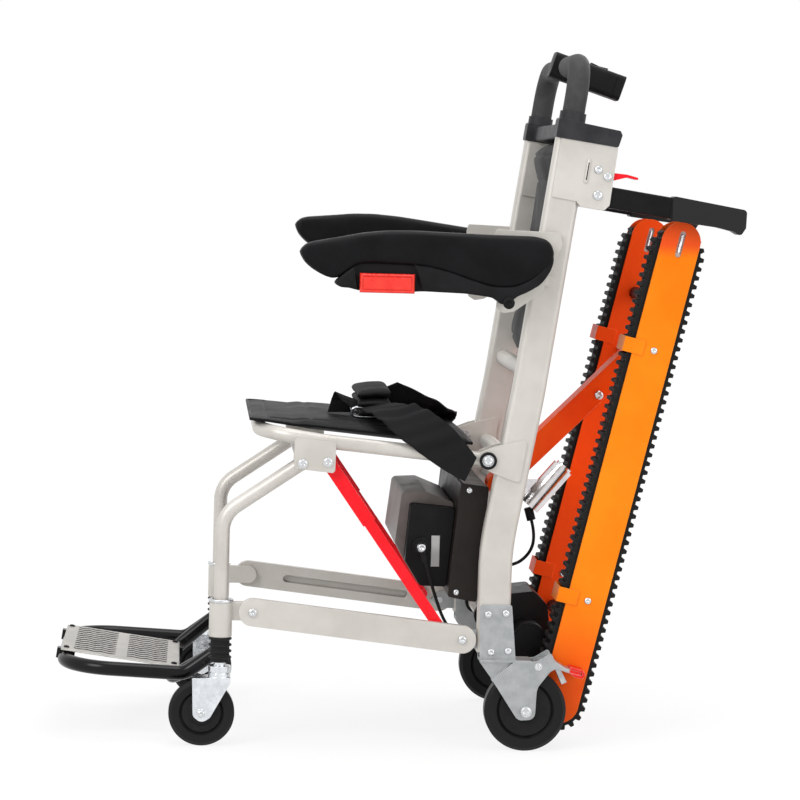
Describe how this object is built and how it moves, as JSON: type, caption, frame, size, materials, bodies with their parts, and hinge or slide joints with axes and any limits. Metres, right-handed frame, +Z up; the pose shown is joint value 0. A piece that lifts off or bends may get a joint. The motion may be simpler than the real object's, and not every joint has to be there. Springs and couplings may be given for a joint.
{
  "type": "stair climbing wheelchair",
  "caption": "Folding stair climbing wheelchair with grey columns, black seat and armrests, red lock struts and orange tilting crawler tracks behind",
  "frame": {"origin": "middle of the plan on the floor: halfway between the footrest's front and the rear grips, on the plane of symmetry", "axes": "+X to the occupant's left, +Y to the rear, +Z up"},
  "size_m": [0.574, 1.0323, 1.0704],
  "materials": {
    "painted aluminium": "silver-grey powder coat on bent tube and extrusion",
    "bare steel plate": "stamped and blasted plate",
    "zinc steel": "bright zinc plating",
    "black plastic": "moulded, fine matt grain",
    "tyre rubber": "moulded, matt",
    "black steel": "satin black powder coat",
    "red paint": "glossy red paint",
    "orange paint": "orange powder coat on folded sheet",
    "bare aluminium": "pressed and anodised",
    "battery case grey": "moulded, satin",
    "black upholstery": "leather-grain coated fabric over foam",
    "black webbing": "woven"
  },
  "bodies": {
    "chassis": {"columns": "painted aluminium", "cross_members": "painted aluminium", "top_caps": "black plastic", "frame_plates": "bare steel plate", "rear_brackets": "bare steel plate", "chassis_bolts": "zinc steel", "backrest_pad": "black upholstery", "backrest_shell": "black plastic", "drive_housing": "black plastic", "stay_motor": "bare steel plate", "electronics_housing": "black plastic", "battery_case": "battery case grey", "control_unit": "black plastic", "cable_fittings": "black plastic", "battery_lead": "tyre rubber", "motor_lead": "tyre rubber"},
    "seat": {"seat_frame": "painted aluminium", "seat_gussets": "painted aluminium", "fold_bolts": "zinc steel", "seat_pad": "black upholstery", "lap_belt": "black webbing", "belt_rings": "zinc steel"},
    "link_left": {"link_bar_left": "painted aluminium"},
    "strut_left": {"lock_strut_left": "red paint"},
    "link_right": {"link_bar_right": "painted aluminium"},
    "strut_right": {"lock_strut_right": "red paint"},
    "legs": {"front_legs": "painted aluminium", "leg_sleeves": "painted aluminium", "leg_collars": "tyre rubber"},
    "footrest": {"footrest_frame": "black steel", "tread_plate": "bare aluminium"},
    "caster_fork_left": {"caster_fork_left": "zinc steel"},
    "caster_wheel_left": {"caster_wheel_left": "tyre rubber"},
    "rear_wheel_left": {"rear_wheel_left": "tyre rubber"},
    "brake_left": {"brake_left": "black steel"},
    "lift_bar_left": {"lift_bar_left": "black plastic"},
    "lift_release_left": {"lift_release_left": "red paint"},
    "armrest_left": {"armrest_left": "black plastic"},
    "arm_button_left": {"arm_button_left": "red paint"},
    "caster_fork_right": {"caster_fork_right": "zinc steel"},
    "caster_wheel_right": {"caster_wheel_right": "tyre rubber"},
    "rear_wheel_right": {"rear_wheel_right": "tyre rubber"},
    "brake_right": {"brake_right": "black steel"},
    "lift_bar_right": {"lift_bar_right": "black plastic"},
    "lift_release_right": {"lift_release_right": "red paint"},
    "armrest_right": {"armrest_right": "black plastic"},
    "arm_button_right": {"arm_button_right": "red paint"},
    "handle": {"push_handle": "black steel", "handle_foam": "tyre rubber", "handle_rings": "black steel", "control_box": "black plastic"},
    "rocker": {"control_rocker": "black plastic"},
    "tracks": {"track_belts": "tyre rubber", "track_covers": "orange paint", "track_rails": "black plastic"},
    "stay": {"stay_arm": "orange paint"},
    "drive": {"drive_shaft": "zinc steel"},
    "idlers": {"idler_pulleys": "black plastic"}
  },
  "joints": [
    {"name": "seat_fold", "type": "hinge", "parent": "chassis", "child": "seat", "pos_m": [0, 0.13251, 0.443], "axis": [1, 0, 0], "range_deg": [-88, 0]},
    {"name": "link_swing_left", "type": "hinge", "parent": "chassis", "child": "link_left", "pos_m": [0.2175, 0.10151, 0.169], "axis": [1, 0, 0], "range_deg": [-77.6, 0]},
    {"name": "strut_swing_left", "type": "hinge", "parent": "seat", "child": "strut_left", "pos_m": [0.211, -0.10949, 0.436], "axis": [1, 0, 0], "range_deg": [0, 46.2]},
    {"name": "link_swing_right", "type": "hinge", "parent": "chassis", "child": "link_right", "pos_m": [-0.2175, 0.10151, 0.169], "axis": [1, 0, 0], "range_deg": [-77.6, 0]},
    {"name": "strut_swing_right", "type": "hinge", "parent": "seat", "child": "strut_right", "pos_m": [-0.211, -0.10949, 0.436], "axis": [1, 0, 0], "range_deg": [0, 46.2]},
    {"name": "legs_swing", "type": "hinge", "parent": "seat", "child": "legs", "pos_m": [0, -0.14749, 0.433], "axis": [1, 0, 0], "range_deg": [0, 94.3]},
    {"name": "footrest_flip", "type": "hinge", "parent": "legs", "child": "footrest", "pos_m": [0, -0.26549, 0.142], "axis": [1, 0, 0], "range_deg": [-85, 0]},
    {"name": "caster_swivel_left", "type": "hinge", "parent": "legs", "child": "caster_fork_left", "pos_m": [0.2175, -0.26549, 0.14], "axis": [0, 0, 1], "continuous": true},
    {"name": "caster_spin_left", "type": "hinge", "parent": "caster_fork_left", "child": "caster_wheel_left", "pos_m": [0.2175, -0.29149, 0.05], "axis": [1, 0, 0], "continuous": true},
    {"name": "rear_wheel_spin_left", "type": "hinge", "parent": "chassis", "child": "rear_wheel_left", "pos_m": [0.219, 0.20051, 0.0625], "axis": [1, 0, 0], "continuous": true},
    {"name": "brake_press_left", "type": "hinge", "parent": "chassis", "child": "brake_left", "pos_m": [0.215, 0.21751, 0.1315], "axis": [1, 0, 0], "range_deg": [-5, 0]},
    {"name": "lift_bar_fold_left", "type": "hinge", "parent": "chassis", "child": "lift_bar_left", "pos_m": [0.215, 0.2863, 0.84758], "axis": [1, 0, 0], "range_deg": [-90, 0]},
    {"name": "lift_release_turn_left", "type": "hinge", "parent": "chassis", "child": "lift_release_left", "pos_m": [0.215, 0.30046, 0.87585], "axis": [1, 0, 0], "range_deg": [0, 18], "stiffness_Nm_per_rad": 0.05},
    {"name": "armrest_raise_left", "type": "hinge", "parent": "chassis", "child": "armrest_left", "pos_m": [0.261, 0.15151, 0.684], "axis": [1, 0, 0], "range_deg": [-98, 0]},
    {"name": "arm_button_press_left", "type": "slide", "parent": "armrest_left", "child": "arm_button_left", "axis": [1, 0, 0], "range_m": [-0.0035, 0], "stiffness_N_per_m": 400},
    {"name": "caster_swivel_right", "type": "hinge", "parent": "legs", "child": "caster_fork_right", "pos_m": [-0.2175, -0.26549, 0.14], "axis": [0, 0, 1], "continuous": true},
    {"name": "caster_spin_right", "type": "hinge", "parent": "caster_fork_right", "child": "caster_wheel_right", "pos_m": [-0.2175, -0.29149, 0.05], "axis": [1, 0, 0], "continuous": true},
    {"name": "rear_wheel_spin_right", "type": "hinge", "parent": "chassis", "child": "rear_wheel_right", "pos_m": [-0.219, 0.20051, 0.0625], "axis": [1, 0, 0], "continuous": true},
    {"name": "brake_press_right", "type": "hinge", "parent": "chassis", "child": "brake_right", "pos_m": [-0.215, 0.21751, 0.1315], "axis": [1, 0, 0], "range_deg": [-5, 0]},
    {"name": "lift_bar_fold_right", "type": "hinge", "parent": "chassis", "child": "lift_bar_right", "pos_m": [-0.215, 0.2863, 0.84758], "axis": [1, 0, 0], "range_deg": [-90, 0]},
    {"name": "lift_release_turn_right", "type": "hinge", "parent": "chassis", "child": "lift_release_right", "pos_m": [-0.215, 0.30046, 0.87585], "axis": [1, 0, 0], "range_deg": [0, 18], "stiffness_Nm_per_rad": 0.05},
    {"name": "armrest_raise_right", "type": "hinge", "parent": "chassis", "child": "armrest_right", "pos_m": [-0.261, 0.15151, 0.684], "axis": [1, 0, 0], "range_deg": [-92, 6]},
    {"name": "arm_button_press_right", "type": "slide", "parent": "armrest_right", "child": "arm_button_right", "axis": [-1, 0, 0], "range_m": [-0.0035, 0], "stiffness_N_per_m": 400},
    {"name": "handle_slide", "type": "slide", "parent": "chassis", "child": "handle", "axis": [0, 0.1421, 0.9898], "range_m": [0, 0.2]},
    {"name": "rocker_tilt", "type": "hinge", "parent": "handle", "child": "rocker", "pos_m": [0, 0.31214, 1.04811], "axis": [1, 0, 0], "range_deg": [-6, 6], "stiffness_Nm_per_rad": 0.02},
    {"name": "track_deploy", "type": "hinge", "parent": "chassis", "child": "tracks", "pos_m": [0, 0.25751, 0.066], "axis": [1, 0, 0], "range_deg": [-34, 0]},
    {"name": "stay_swing", "type": "hinge", "parent": "chassis", "child": "stay", "pos_m": [0, 0.17051, 0.386], "axis": [1, 0, 0], "range_deg": [-84.4, 0]},
    {"name": "drive_turn", "type": "hinge", "parent": "chassis", "child": "drive", "pos_m": [0, 0.25751, 0.066], "axis": [1, 0, 0], "continuous": true},
    {"name": "idler_turn", "type": "hinge", "parent": "tracks", "child": "idlers", "pos_m": [0, 0.4178, 0.75972], "axis": [1, 0, 0], "continuous": true}
  ],
  "couplings": [
    {"joint": "link_swing_left", "follows": "seat_fold", "ratio": 0.881},
    {"joint": "strut_swing_left", "follows": "seat_fold", "ratio": -0.524},
    {"joint": "link_swing_right", "follows": "seat_fold", "ratio": 0.881},
    {"joint": "strut_swing_right", "follows": "seat_fold", "ratio": -0.524},
    {"joint": "legs_swing", "follows": "seat_fold", "ratio": -1.0705},
    {"joint": "stay_swing", "follows": "track_deploy", "ratio": 2.482},
    {"joint": "idler_turn", "follows": "drive_turn", "ratio": 1}
  ]
}
